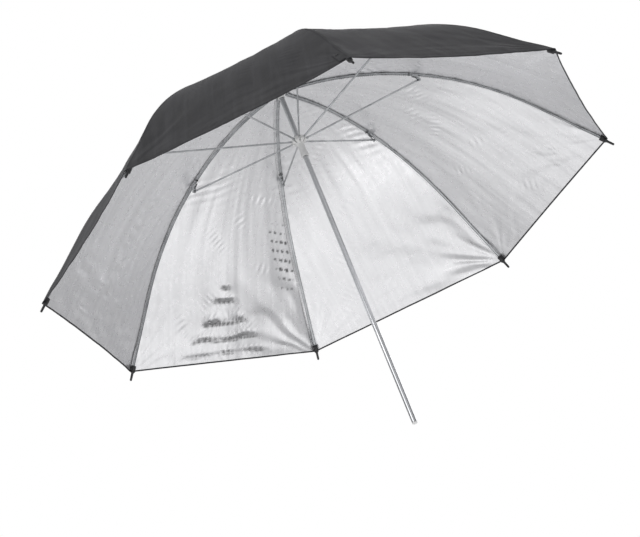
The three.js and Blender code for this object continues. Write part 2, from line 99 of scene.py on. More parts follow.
# ---- Camera, light and floor ----

CAMERA_AT = Vector((-0.8586, -3.5483, -1.4177))
CAMERA_LOOK = Vector((0.20229, 0.88273, 0.42411)).normalized()
CAMERA_UP = Vector((0.27744, -0.46698, 0.83962))
LENS = 149.06
SENSOR = 36.0
FLOOR_Z = -1.62
FLOOR_HALF = 7.0
DIM_SIDE = (0.75, 0.65, -0.10)      # the studio is a little dimmer toward here
STUDIO_TONES = ((0.3, (0.54, 0.54, 0.55, 1)), (1.0, (0.42, 0.42, 0.43, 1)))
FLOOR_TONE, FLOOR_ROUGHNESS = 0.86, 0.9
CARD_BLACK, CARD_ROUGHNESS = 0.01, 0.5


def add_camera():
    data = bpy.data.cameras.new("camera")
    data.lens = LENS
    data.sensor_width = SENSOR
    camera = bpy.data.objects.new("camera", data)
    bpy.context.collection.objects.link(camera)
    right = CAMERA_LOOK.cross(CAMERA_UP).normalized()
    up = right.cross(CAMERA_LOOK)
    turn = Matrix((right, up, -CAMERA_LOOK)).transposed().to_4x4()
    camera.matrix_world = Matrix.Translation(CAMERA_AT) @ turn
    bpy.context.scene.camera = camera


def facing(at, toward, across):
    """A turn with its third axis away from toward and its first as near as it can be to across."""
    back = (Vector(at) - Vector(toward)).normalized()
    side = Vector(across)
    side = (side - back * side.dot(back)).normalized()
    return Matrix((side, back.cross(side), back)).transposed().to_4x4()


def add_area_light(name, at, toward, size, power, across):
    data = bpy.data.lights.new(name, "AREA")
    data.shape = "RECTANGLE"
    data.size, data.size_y = size
    data.energy = power
    light = bpy.data.objects.new(name, data)
    bpy.context.collection.objects.link(light)
    light.matrix_world = Matrix.Translation(at) @ facing(at, toward, across)
    light.visible_camera = False


def add_world():
    """A white studio that the camera sees as plain white, and that lights and reflects less evenly."""
    world = bpy.data.worlds.new("studio")
    bpy.context.scene.world = world
    world.use_nodes = True
    nodes, links = world.node_tree.nodes, world.node_tree.links
    nodes.clear()
    coords = nodes.new("ShaderNodeTexCoord")
    toward_dim = nodes.new("ShaderNodeVectorMath")
    toward_dim.operation = "DOT_PRODUCT"
    toward_dim.inputs[1].default_value = DIM_SIDE
    links.new(coords.outputs["Generated"], toward_dim.inputs[0])
    ramp = nodes.new("ShaderNodeValToRGB")
    for element, (position, colour) in zip(ramp.color_ramp.elements, STUDIO_TONES):
        element.position = position
        element.color = colour
    links.new(toward_dim.outputs["Value"], ramp.inputs[0])
    seen = nodes.new("ShaderNodeBackground")
    seen.inputs["Color"].default_value = (1, 1, 1, 1)
    lit = nodes.new("ShaderNodeBackground")
    links.new(ramp.outputs["Color"], lit.inputs["Color"])
    path = nodes.new("ShaderNodeLightPath")
    mix = nodes.new("ShaderNodeMixShader")
    links.new(path.outputs["Is Camera Ray"], mix.inputs[0])
    links.new(lit.outputs[0], mix.inputs[1])
    links.new(seen.outputs[0], mix.inputs[2])
    out = nodes.new("ShaderNodeOutputWorld")
    links.new(mix.outputs[0], out.inputs["Surface"])


def add_card(name, w, h, tone, roughness, z=0.0):
    """A flat sheet of one grey, with half-sides w and h."""
    mesh = bpy.data.meshes.new(name)
    mesh.from_pydata([(-w, -h, z), (w, -h, z), (w, h, z), (-w, h, z)], [], [(0, 1, 2, 3)])
    paint = bpy.data.materials.new(f"{name}_paint")
    paint.use_nodes = True
    shader = paint.node_tree.nodes["Principled BSDF"]
    shader.inputs["Base Color"].default_value = (tone, tone, tone, 1)
    shader.inputs["Roughness"].default_value = roughness
    mesh.materials.append(paint)
    card = bpy.data.objects.new(name, mesh)
    bpy.context.collection.objects.link(card)
    return card


def add_floor():
    floor = add_card("floor", FLOOR_HALF, FLOOR_HALF, FLOOR_TONE, FLOOR_ROUGHNESS, FLOOR_Z)


def add_flag(name, at, toward, size, tone=CARD_BLACK):
    """A dark or grey card that the object reflects and the camera doesn't see."""
    flag = add_card(name, size[0] / 2, size[1] / 2, tone, CARD_ROUGHNESS)
    flag.location = at
    flag.rotation_euler = (Vector(toward) - Vector(at)).to_track_quat("Z", "Y").to_euler()
    flag.visible_camera = False


add_camera()
add_world()
add_floor()
MIDDLE = (0, 0, 0.45)
add_area_light("key", (-2.6, -3.2, 2.4), MIDDLE, (3.0, 3.0), 45, (1, -1, 0))
add_area_light("back", (1.5, 3.2, 2.2), MIDDLE, (3.0, 2.0), 40, (1, -0.5, 0))
add_area_light("low_right", (0.55, -0.12, -1.16), (-0.15, 0.33, 0.45), (1.0, 1.85), 3.0, (0.79, 0.61, 0))
add_area_light("low_middle", (-0.35, -0.20, -0.75), (0.15, 0.36, 0.45), (1.2, 1.0), 1.45, (1, 0, 0))
add_area_light("low_back", (-0.80, 0.38, -0.40), (0.35, 0.15, 0.45), (1.0, 1.0), 1.2, (0.2, 1, 0))
add_flag("flag_right", (1.15, -0.74, 0.05), (-0.1, 0.3, 0.4), (0.9, 0.95))
add_flag("flag_shaft_right", (1.50, -0.34, 0.95), (0, 0, 0.2), (1.5, 0.9), 0.40)
add_flag("flag_shaft_left", (-1.50, 0.34, 0.95), (0, 0, 0.2), (1.5, 0.9), 0.62)
bpy.context.scene.view_settings.view_transform = "Standard"


# ---- Materials ----

class Paint:
    """A material and short ways to add nodes to it."""

    def __init__(self, name, colour, roughness, metallic=0.0):
        self.material = bpy.data.materials.new(name)
        self.material.use_nodes = True
        self.nodes = self.material.node_tree.nodes
        self.links = self.material.node_tree.links
        self.shader = self.nodes["Principled BSDF"]
        self.shader.inputs["Base Color"].default_value = (*colour, 1)
        self.shader.inputs["Roughness"].default_value = roughness
        self.shader.inputs["Metallic"].default_value = metallic

    def add(self, kind, **inputs):
        node = self.nodes.new("ShaderNode" + kind)
        for key, value in inputs.items():
            name = key.replace("_", " ")
            if hasattr(value, "is_output"):
                self.links.new(value, node.inputs[name])
            else:
                node.inputs[name].default_value = value
        return node

    def link(self, output, socket):
        self.links.new(output, self.shader.inputs[socket])

    def coords(self, scale, source="Object"):
        place = self.nodes.new("ShaderNodeMapping")
        place.inputs["Scale"].default_value = scale
        if source == "Object":
            self.links.new(self.nodes.new("ShaderNodeTexCoord").outputs["Object"], place.inputs["Vector"])
        else:
            uv = self.nodes.new("ShaderNodeUVMap")
            uv.uv_map = source
            self.links.new(uv.outputs[0], place.inputs["Vector"])
        return place.outputs[0]

    def noise(self, scale, source="Object", detail=4, distortion=0.0):
        node = self.add("TexNoise", Vector=self.coords(scale, source), Scale=1.0, Detail=detail)
        node.inputs["Distortion"].default_value = distortion
        return node.outputs["Fac"]

    def ramp(self, value, stops):
        node = self.nodes.new("ShaderNodeValToRGB")
        self.links.new(value, node.inputs[0])
        elements = node.color_ramp.elements
        while len(elements) < len(stops):
            elements.new(0.5)
        for element, (position, colour) in zip(elements, stops):
            element.position = position
            element.color = (*colour, 1) if hasattr(colour, "__len__") else (colour, colour, colour, 1)
        return node.outputs["Color"]

    def math(self, operation, a, b=None):
        node = self.nodes.new("ShaderNodeMath")
        node.operation = operation
        for socket, value in zip(node.inputs, (a, b)):
            if hasattr(value, "is_output"):
                self.links.new(value, socket)
            elif value is not None:
                socket.default_value = value
        return node.outputs[0]

    def times(self, a, b):
        node = self.nodes.new("ShaderNodeVectorMath")
        node.operation = "MULTIPLY"
        self.links.new(a, node.inputs[0])
        self.links.new(b, node.inputs[1])
        return node.outputs[0]

    def bump(self, height, strength, distance, under=None):
        node = self.add("Bump", Height=height, Strength=strength, Distance=distance)
        if under is not None:
            self.links.new(under, node.inputs["Normal"])
        return node.outputs[0]


def chrome(name, low, high):
    """Bright plating with faint draw lines along the tube."""
    p = Paint(name, high, 0.14, 1.0)
    lines = p.noise((900, 900, 14), detail=3)
    p.link(p.ramp(lines, [(0.3, 0.11), (0.7, 0.2)]), "Roughness")
    p.link(p.ramp(p.noise((60, 60, 25)), [(0.35, low), (0.65, high)]), "Base Color")
    p.link(p.bump(lines, 0.08, 0.0001), "Normal")
    return p.material


def tube_plating():
    """The shaft's plating: long dull bands, and painted shade: greyer above the rim, where the canopy covers it.
    """
    p = Paint("shaft_plating", (0.66, 0.67, 0.69), 0.16, 1.0)
    lines = p.noise((420, 420, 5), detail=2)
    split = p.add("SeparateXYZ", Vector=p.coords((1, 1, 1)))
    # Painted shade: the colour falls to 0.66 of itself between 0.24 m and 0.36 m up, the rim's height, and stays
    # darker above, inside the canopy.
    canopy_shade = p.ramp(split.outputs["Z"], [(0.24, 1.0), (0.36, 0.66)])
    base = p.ramp(lines, [(0.40, (0.50, 0.51, 0.52)), (0.56, (0.80, 0.81, 0.83))])
    p.link(p.times(base, canopy_shade), "Base Color")
    p.link(p.ramp(lines, [(0.3, 0.12), (0.7, 0.2)]), "Roughness")
    return p.material


def steel():
    """Nickel-plated strip, rolled, with fine scratches and duller patches."""
    p = Paint("plated_steel", (0.31, 0.32, 0.33), 0.26, 1.0)
    patches = p.noise((45, 45, 45), detail=5)
    scratches = p.noise((1500, 1500, 60), detail=2)
    p.link(p.ramp(patches, [(0.35, (0.38, 0.39, 0.40)), (0.65, (0.52, 0.53, 0.54))]), "Base Color")
    p.link(p.ramp(p.math("ADD", p.math("MULTIPLY", patches, 0.5), p.math("MULTIPLY", scratches, 0.5)),
                  [(0.35, 0.20), (0.65, 0.34)]), "Roughness")
    p.link(p.bump(scratches, 0.12, 0.0001), "Normal")
    return p.material


def plastic(name, low, high, roughness):
    """Moulded plastic: a faint orange-peel surface and slightly uneven gloss."""
    p = Paint(name, high, roughness)
    grain = p.noise((1400, 1400, 1400), detail=2)
    clouds = p.noise((90, 90, 90), detail=4)
    p.link(p.ramp(clouds, [(0.3, low), (0.7, high)]), "Base Color")
    p.link(p.ramp(clouds, [(0.3, roughness - 0.06), (0.7, roughness + 0.08)]), "Roughness")
    p.link(p.bump(grain, 0.1, 0.0001), "Normal")
    return p.material


THREAD_PITCH = 0.0009


def weave(p, pitch):
    """Height of a plain weave with threads at that pitch, over the cloth's own coordinates."""
    place = p.coords((1 / pitch, 1 / pitch, 1), "cloth")
    split = p.add("SeparateXYZ", Vector=place)
    warp = p.math("SINE", p.math("MULTIPLY", split.outputs["X"], 2 * math.pi))
    weft = p.math("SINE", p.math("MULTIPLY", split.outputs["Y"], 2 * math.pi))
    return p.math("MULTIPLY", warp, weft)


def black_nylon():
    """Tightly woven black nylon with a soft sheen, and faint streaks where it is stretched."""
    p = Paint("black_nylon", (0.03, 0.03, 0.033), 0.55)
    streaks = p.noise((95, 5, 1), "cloth", detail=5, distortion=0.4)
    clouds = p.noise((18, 14, 1), "cloth", detail=4)
    tone = p.math("ADD", p.math("MULTIPLY", streaks, 0.65), p.math("MULTIPLY", clouds, 0.35))
    p.link(p.ramp(tone, [(0.36, (0.010, 0.010, 0.011)), (0.5, (0.017, 0.017, 0.019)),
                         (0.66, (0.032, 0.032, 0.035))]), "Base Color")
    p.link(p.ramp(clouds, [(0.3, 0.5), (0.7, 0.66)]), "Roughness")
    p.shader.inputs["Sheen Weight"].default_value = 0.06
    p.shader.inputs["Sheen Roughness"].default_value = 0.45
    p.shader.inputs["Sheen Tint"].default_value = (0.8, 0.8, 0.85, 1)
    fold = p.bump(streaks, 0.35, 0.0012)
    p.link(p.bump(weave(p, THREAD_PITCH), 0.25, 0.0001, under=fold), "Normal")
    return p.material


def silver_lining():
    """The coated side: satin silver with long streaks, clusters of small creases, and painted shade that darkens
    its sharpest dents and the hem's ripple rows.
    """
    p = Paint("silver_lining", (0.80, 0.80, 0.81), 0.34, 0.85)
    streaks = p.noise((110, 4.5, 1), "cloth", detail=2, distortion=0.2)
    creases = p.noise((60, 34, 1), "cloth", detail=3, distortion=0.9)
    ridged = p.math("ABSOLUTE", p.math("SUBTRACT", creases, 0.5))
    clusters = p.noise((9, 7, 1), "cloth", detail=2)
    fine = p.noise((160, 110, 1), "cloth", detail=2)
    where = p.ramp(clusters, [(0.50, 0.0), (0.66, 1.0)])
    folds = p.math("MULTIPLY", ridged, where)
    silver = p.ramp(streaks, [(0.3, (0.80, 0.80, 0.81)), (0.7, (0.87, 0.87, 0.88))])
    # Painted shade: the silver's colour is multiplied down to 0.16 where the mesh's shade attribute reaches 1, in
    # the sharpest dents and along the hem's ripple rows.
    painted_shade = p.nodes.new("ShaderNodeAttribute")
    painted_shade.attribute_name = "painted_shade"
    p.link(p.times(silver, p.ramp(painted_shade.outputs["Fac"], [(0.0, 1.0), (1.0, 0.16)])), "Base Color")
    p.link(p.ramp(fine, [(0.3, 0.26), (0.7, 0.34)]), "Roughness")
    streak = p.bump(streaks, 0.22, 0.0012)
    crease = p.bump(folds, 0.22, 0.0035, under=streak)
    p.link(p.bump(weave(p, THREAD_PITCH), 0.02, 0.0001, under=crease), "Normal")
    return p.material


def thread():
    """Twisted black sewing thread and the hem's folded edge."""
    p = Paint("black_thread", (0.018, 0.018, 0.02), 0.7)
    twist = p.noise((1800, 1800, 1800), detail=3)
    p.link(p.ramp(twist, [(0.3, (0.012, 0.012, 0.014)), (0.7, (0.05, 0.05, 0.054))]), "Base Color")
    p.link(p.ramp(twist, [(0.3, 0.6), (0.7, 0.8)]), "Roughness")
    p.link(p.bump(twist, 0.4, 0.0003), "Normal")
    return p.material


CHROME = chrome("chrome_plate", (0.60, 0.61, 0.63), (0.72, 0.73, 0.75))
WIRE = chrome("plated_wire", (0.34, 0.35, 0.36), (0.50, 0.51, 0.52))
TUBE = tube_plating()
STEEL = steel()
WHITE_PLASTIC = plastic("white_nylon", (0.72, 0.72, 0.71), (0.84, 0.84, 0.83), 0.38)
BLACK_PLASTIC = plastic("black_nylon_cap", (0.012, 0.012, 0.013), (0.026, 0.026, 0.028), 0.42)
OUTSIDE = black_nylon()
LINING = silver_lining()
THREAD = thread()
PAINTS = {"chrome": CHROME, "steel": STEEL, "white_plastic": WHITE_PLASTIC,
          "black_plastic": BLACK_PLASTIC, "canopy_cloth": OUTSIDE}

for part in frame["record"]["subparts"]:
    data = frame["nodes"][part["node"]].data
    data.materials.clear()
    data.materials.append(PAINTS[part["material_slot"]])


# ---- Pieces ----

def add_piece(name, points, faces, materials, body, normals=None, which=None):
    mesh = bpy.data.meshes.new(name)
    mesh.from_pydata([tuple(p) for p in points], [], faces)
    for material in materials:
        mesh.materials.append(material)
    if which is not None:
        mesh.polygons.foreach_set("material_index", np.asarray(which, np.int32))
    mesh.polygons.foreach_set("use_smooth", np.ones(len(mesh.polygons), bool))
    mesh.update()
    if normals is not None:
        mesh.normals_split_custom_set_from_vertices([tuple(n) for n in normals])
    piece = bpy.data.objects.new(name, mesh)
    bpy.context.collection.objects.link(piece)
    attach(piece, body)
    return piece


# ---- Canopy: one surface over all eight gores, cut into half-gores that ride on the ribs ----

CLOTH_HALF = 0.00025
RIB_LIFT = 0.0027
TIP_LIFT = TIP_SLEEVE_RADIUS + 0.0008
CLOTH_HOLE = 0.005
CROWN_FLAT = 0.014
CROWN_FOOT = 0.028
TIP_RISE_START = RIM_RADIUS - 0.045
TIP_RISE_END = RIM_RADIUS - 0.010
CROWN_CLOTH_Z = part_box("top_washer")[0].z - 0.0006
SAG = 0.03              # of the half-width of a gore
SAG_START = 0.06
HEM_BOW = 0.0012
INNER_ROWS = 52
OUTER_ROWS = 112
HALF_COLUMNS = 56


def between(corner, u, v):
    """The value inside a grid's cell, from those at its corners, corner(0, 0) to corner(1, 1)."""
    low = corner(0, 0) * (1 - u) + corner(1, 0) * u
    high = corner(0, 1) * (1 - u) + corner(1, 1) * u
    return low * (1 - v) + high * v


def noise(x, y, seed):
    """Smooth seeded noise from -1 to 1, with features about one unit across."""
    size = 64
    grid = np.random.default_rng(seed).uniform(-1, 1, (size, size))
    i, j = np.floor(x).astype(int), np.floor(y).astype(int)
    return between(lambda a, b: grid[(i + a) % size, (j + b) % size],
                   ease(x - i, 0, 1), ease(y - j, 0, 1))


def cloth_line(radius):
    """Radius and height of the cloth over a rib, and its slope there."""
    lift = RIB_LIFT + (TIP_LIFT - RIB_LIFT) * ease(radius, TIP_RISE_START, TIP_RISE_END)
    slope = rib_slope(radius)
    share = ease(radius, CROWN_FLAT, CROWN_FOOT)
    on_rib = rib_z(radius) + lift * np.cos(slope)
    return radius + lift * np.sin(slope), CROWN_CLOTH_Z * (1 - share) + on_rib * share, slope


def gore_grid():
    """Rib radius and place across, from -1 to 1, for every point of one gore."""
    across = np.linspace(-1, 1, 2 * HALF_COLUMNS + 1)
    hem = RIM_RADIUS - HEM_BOW * (1 - across ** 2)
    inner = np.linspace(CLOTH_HOLE, JOINT_RADIUS, INNER_ROWS + 1)[:, None] + 0 * across
    t = np.linspace(0, 1, OUTER_ROWS + 1)[1:, None]
    outer = JOINT_RADIUS + (hem - JOINT_RADIUS) * t
    radius = np.vstack([inner, outer])
    return radius, np.broadcast_to(across, radius.shape)


def smooth_gore(middle, radius, across):
    """The cloth of one gore without creases. Its level lines are straight but for a slight sag."""
    reach, z, slope = cloth_line(radius)
    away = reach * math.cos(HALF)
    along = reach * math.sin(HALF) * across
    sag = SAG * reach * math.sin(HALF) * (1 - across ** 2) * ease(radius, CROWN_FLAT, SAG_START)
    away = away - sag * np.sin(slope)
    z = z - sag * np.cos(slope)
    c, s = math.cos(middle), math.sin(middle)
    return np.stack([away * c - along * s, away * s + along * c, z], -1)


def grid_normals(points):
    up = np.cross(np.gradient(points, axis=0), np.gradient(points, axis=1))
    return up / np.linalg.norm(up, axis=-1, keepdims=True)


def run_along(points):
    """Length along the cloth from the crown, at every point of a gore."""
    steps = np.linalg.norm(np.diff(points, axis=0), axis=-1)
    return np.vstack([np.zeros((1, points.shape[1])), np.cumsum(steps, axis=0)])


# ---- Creases, as heights along the cloth's normal ----

MAIN_GORE = 2       # between the third and fourth ribs, where the lining ripples most
LEFT_GORE = 3
STRAP_RIB = 7
CREASE_GROUPS = 9

# Heights of the creases
WIDE_STREAK, NARROW_STREAK = 0.0006, 0.00022
PUCKER = 0.00045
SMALL_CREASE = 0.00030
RIB_WAVE = 0.0010
RIPPLE, FAINT_RIPPLE = 0.0016, 0.00025
TICK = 0.0008
PATCH, BLOB = 0.0016, 0.0011
STRONG_FAN, WEAK_FAN = 0.048, 0.015     # per metre from the corner
STRONG_CORNERS = ((MAIN_GORE, 1), (1, 1))
RIPPLE_PITCH, TICK_PITCH, ROW_PITCH, WAVE_PITCH = 0.0085, 0.0095, 0.017, 0.017
TICKS_RUN = (0.27, 0.43)                # how far down the cloth the ticks are


def tension_streaks(seed, x, half, run, edge):
    """Long shallow folds that run from the crown to the hem."""
    wide = noise(x / half * 5 + 40, run / 0.22, seed) * WIDE_STREAK
    narrow = noise(x / half * 13 + 40, run / 0.13 + 9, seed + 1) * NARROW_STREAK
    return (wide + narrow) * ease(edge, 0.0, 0.035) * ease(run, 0.04, 0.16)


def tip_fan(seed, edge, hem, strength):
    """Folds that spread from a corner of the hem, where the cloth hangs on the rib's tip."""
    far = np.hypot(edge, hem)
    turn = np.arctan2(edge, hem)
    wave = np.sin(turn * 11 + 3 * noise(far / 0.05, turn * 3, seed)) + noise(turn * 7, far / 0.06, seed + 1)
    return strength * far * wave * np.exp(-far / 0.060) * ease(far, 0.004, 0.030) * ease(edge, 0, 0.006)


def seam_puckers(seed, edge, run):
    """Short gathers across a seam."""
    wave = noise(run / 0.010, edge / 0.020, seed)
    return PUCKER * wave * np.exp(-edge / 0.012) * ease(edge, 0.0005, 0.004) * ease(run, 0.05, 0.12)


RIPPLE_ROWS = (-0.010, 0.016, 0.041, 0.067, 0.104, 0.129)    # distances from the hem; the first is past it
RIPPLE_HALVES = (0.090, 0.082, 0.065, 0.042, 0.023, 0.012)   # half the length of each row


def ripple_rows(seed, x, hem):
    """Level ridges across a gore near its hem, shorter toward the crown: their height and reach."""
    waver = noise(x / 0.04, hem / 0.04, seed) * 0.004
    row = np.interp(hem + waver, RIPPLE_ROWS, np.arange(len(RIPPLE_ROWS)) - 1.0)
    half = np.interp(hem, RIPPLE_ROWS, RIPPLE_HALVES)
    place = (ease(half - np.abs(x - 0.004), -0.006, 0.016)
             * ease(hem, 0.002, 0.010) * ease(0.145 - hem, 0, 0.02))
    return np.sin(2 * math.pi * row) + 0.35 * np.sin(4 * math.pi * row), place


def ripple_dashes(seed, x, hem):
    """How the ridges break up along their length, from 0 to 1."""
    return 0.5 + 0.5 * np.sin(2 * math.pi * x / RIPPLE_PITCH + 7 * noise(x / 0.03, hem / 0.012, seed + 1))


def cross_ripples(seed, x, hem):
    ridge, place = ripple_rows(seed, x, hem)
    uneven = 0.75 + 0.35 * noise(x / 0.022, hem / 0.020, seed + 2)
    return ridge * (0.45 + 0.55 * ripple_dashes(seed, x, hem)) * uneven * place


def seam_ticks(seed, edge, run):
    """Rows of small sharp dents beside a seam, from 0 to 1, left from when the cloth was folded."""
    low, high = TICKS_RUN
    rows = np.sin(2 * math.pi * (run + 0.55 * edge) / ROW_PITCH)
    shift = seed + 1.5 * noise(run / 0.014, edge * 0, seed + 5)
    dents = 0.25 + np.sin(2 * math.pi * edge / TICK_PITCH + shift)
    place = (ease(edge, 0.006, 0.014) * ease(0.050 - edge, 0, 0.015)
             * ease(run, low, low + 0.07) * ease(high - run, 0, 0.03))
    patchy = 0.75 + 0.45 * noise(edge / 0.010, run / 0.014, seed + 3)
    return np.clip(rows, 0, 1) ** 2 * np.clip(0.45 + 0.55 * dents, 0, 1) * place * patchy


def crease_groups(seed, x, half, run):
    """A few short rows of small parallel creases that the lining keeps from when it was folded."""
    random = np.random.default_rng(seed)
    height = 0
    for _ in range(CREASE_GROUPS):
        middle = random.uniform(-0.65, 0.65) * half
        start, turn = random.uniform(0.13, 0.50), random.uniform(0.5, 1.1) * random.choice([-1, 1])
        pitch, length = random.uniform(0.008, 0.012), random.uniform(0.014, 0.030)
        a, b = x - middle, run - start
        along, across = a * math.cos(turn) + b * math.sin(turn), b * math.cos(turn) - a * math.sin(turn)
        place = np.exp(-(along / length) ** 2 - (across / 0.008) ** 2)
        height = height + SMALL_CREASE * np.sin(2 * math.pi * along / pitch) * place
    return height


def rib_waves(seed, edge, run):
    """Slanting waves beside a rib, toward the crown, where the cloth has more length than the rib."""
    phase = 2 * math.pi * (run + 0.45 * edge) / WAVE_PITCH + 2.5 * noise(run / 0.05, edge / 0.04, seed)
    patchy = ease(noise(run / 0.045, edge / 0.06, seed + 1), -0.35, 0.5)
    place = (ease(edge, 0.003, 0.014) * np.exp(-edge / 0.035)
             * ease(run, 0.06, 0.10) * ease(0.27 - run, 0, 0.06))
    return RIB_WAVE * np.sin(phase) * patchy * place


def gore_seed(gore):
    return 100 + 10 * gore


def crease_height(gore, radius, across, run):
    half = radius * math.sin(HALF)
    x = half * across
    edge = half - np.abs(x)
    hem = run[-1:] - run
    seed = gore_seed(gore)
    height = tension_streaks(seed, x, half, run, edge)
    height = height + seam_puckers(seed + 2, edge, run)
    height = height + crease_groups(seed + 8, x, half, run)
    for side in (-1, 1):
        near = half + side * x
        fan = STRONG_FAN if (gore, side) in STRONG_CORNERS else WEAK_FAN
        height = height + rib_waves(seed + 14 + side, near, run)
        height = height + tip_fan(seed + 4 + side, near, hem, fan)
    if gore == MAIN_GORE:
        height = height + RIPPLE * cross_ripples(seed + 6, x, hem)
        height = height - TICK * seam_ticks(seed, half + x, run)
    else:
        height = height + FAINT_RIPPLE * cross_ripples(seed + 6, x, hem)
    if gore == LEFT_GORE:
        patches = noise(x / 0.03, hem / 0.012, seed + 7)
        patches = patches * ease(0.13 - hem, 0, 0.06) * ease(edge, 0.01, 0.05)
        blobs = noise(x / 0.012, hem / 0.009, seed + 9)
        blobs = blobs * np.exp(-((x + 0.01) / 0.020) ** 2) * ease(run, 0.2, 0.3)
        height = height + PATCH * patches + BLOB * blobs
    return height * ease(run, 0.03, 0.07)


def painted_shade_places(gore, radius, across, run):
    """Painted shade in the lining's sharpest dents and along the main gore's hem ripple rows, from 0 to 1."""
    half = radius * math.sin(HALF)
    seed = gore_seed(gore)
    ticks = ease(seam_ticks(seed, half * (1 + across), run), 0.10, 0.42)
    x, hem = half * across, run[-1:] - run
    ridge, place = ripple_rows(seed + 6, x, hem)
    patchy = ease(noise(x / 0.030, hem / 0.012, seed + 8), -0.7, 0.1)
    dashes = 0.45 + 0.55 * ripple_dashes(seed + 6, x, hem)
    ripples = ease(-ridge, 0.85, 1.12) * ease(place, 0.3, 0.9) * dashes * patchy
    return np.maximum(ticks, ripples) * (gore == MAIN_GORE)


radii, acrosses = gore_grid()
gores = []
for g in range(RIBS):
    base = smooth_gore((g + 0.5) * SECTOR, radii, acrosses)
    run = run_along(base)
    height = crease_height(g, radii, acrosses, run)
    points = base + grid_normals(base) * height[..., None]
    # Each gore also keeps where its lining is darkened as painted shade.
    gores.append({"points": points, "normals": grid_normals(points), "base": base, "run": run,
                  "painted_shade": painted_shade_places(g, radii, acrosses, run)})


SIDE_NAMES = {1: "left", -1: "right"}


def gore_beside(rib, side):
    return (rib - 1 if side > 0 else rib - 2) % RIBS


def half_gore(rib, side, part):
    """The half-gore beside a rib: its points, normals and cloth coordinates, in columns from the rib."""
    gore = gores[gore_beside(rib, side)]
    rows = slice(0, INNER_ROWS + 1) if part == "inner" else slice(INNER_ROWS, None)
    columns = slice(0, HALF_COLUMNS + 1) if side > 0 else slice(None, HALF_COLUMNS - 1, -1)
    cut = {key: gore[key][rows, columns] for key in ("points", "normals", "base", "painted_shade")}
    x = (radii * math.sin(HALF) * acrosses)[rows, columns]
    cut["cloth"] = np.stack([x + rib, gore["run"][rows, columns]], -1)
    return cut


def quads(rows, columns, start=0):
    i, j = np.meshgrid(np.arange(rows - 1), np.arange(columns - 1), indexing="ij")
    a = start + i * columns + j
    return np.stack([a, a + columns, a + columns + 1, a + 1], -1).reshape(-1, 4)


def rim_quads(rows, columns, start=0):
    """The faces round the edge between the first layer and the second, which starts at start."""
    ring = list(range(columns))
    ring += [i * columns + columns - 1 for i in range(1, rows)]
    ring += [(rows - 1) * columns + j for j in range(columns - 2, -1, -1)]
    ring += [i * columns for i in range(rows - 2, 0, -1)]
    ring = np.array(ring)
    onward = np.roll(ring, -1)
    return np.stack([ring, onward, onward + start, ring + start], -1)


def cloth_shell(name, points, normals, cloth, flip, body, materials, half=CLOTH_HALF):
    """A closed sheet with an outer and an inner face. flip: the columns run the other way round."""
    rows, columns = points.shape[:2]
    count = rows * columns
    p, n = points.reshape(-1, 3), normals.reshape(-1, 3)
    vertices = np.vstack([p + n * half, p - n * half])
    outer = quads(rows, columns)
    inner = quads(rows, columns, count)[:, [0, 3, 2, 1]]     # split the same way as the outer face
    faces = np.vstack([outer, inner, rim_quads(rows, columns, count)])
    if flip:
        faces = faces[:, ::-1]
    which = np.zeros(len(faces), int)
    which[len(outer):2 * len(outer)] = 1
    piece = add_piece(name, vertices, faces.tolist(), materials, body,
                      np.vstack([n, -n]), which)
    layer = piece.data.uv_layers.new(name="cloth")
    loops = np.zeros(len(piece.data.loops), int)
    piece.data.loops.foreach_get("vertex_index", loops)
    flat = np.vstack([cloth.reshape(-1, 2)] * 2)[loops]
    layer.data.foreach_set("uv", flat.astype(np.float32).ravel())
    return piece


def spoke(rib):
    """Unit vectors at a rib: outward, and round the shaft."""
    turn = (rib - 1) * SECTOR
    return np.array([math.cos(turn), math.sin(turn), 0]), np.array([-math.sin(turn), math.cos(turn), 0])


def rib_point(rib, radius, lift=0.0):
    out, _ = spoke(rib)
    slope = float(rib_slope(radius))
    return (out * (radius + lift * math.sin(slope))
            + np.array([0, 0, float(rib_z(radius)) + lift * math.cos(slope)]))


SPANS = {"inner": (RIB_FLAT, JOINT_RADIUS), "outer": (JOINT_RADIUS, RIM_RADIUS)}


def gather(piece, rib, part):
    """Works out the line of the rib's span and its outward side, and gives the piece a mesh of its own."""
    low, high = SPANS[part]
    start, end = rib_point(rib, low), rib_point(rib, high)
    along = (end - start) / np.linalg.norm(end - start)
    _, around = spoke(rib)
    outward = np.cross(along, around)
    outward = outward if outward[2] > 0 else -outward
    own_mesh(piece)


def make_half_gore(rib, side, part):
    cut = half_gore(rib, side, part)
    name = f"canopy_{rib}_{part}_{SIDE_NAMES[side]}"
    piece = cloth_shell(name, cut["points"], cut["normals"], cut["cloth"], side < 0, f"rib_{rib}_{part}",
                        [OUTSIDE, LINING])
    # Painted shade on the lining: darkening in dents and ripple rows, none on the outside face.
    painted_shade = np.concatenate([np.zeros(cut["painted_shade"].size), cut["painted_shade"].ravel()])
    piece.data.attributes.new("painted_shade", "FLOAT", "POINT").data.foreach_set("value", painted_shade.astype(np.float32))
    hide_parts(f"cover_{rib}_{part}")
    gather(piece, rib, part)


for rib in range(1, RIBS + 1):
    for part in ("inner", "outer"):
        for side in (1, -1):
            make_half_gore(rib, side, part)


# ---- Sewing: the folded hem, the seams' allowances and their stitches ----

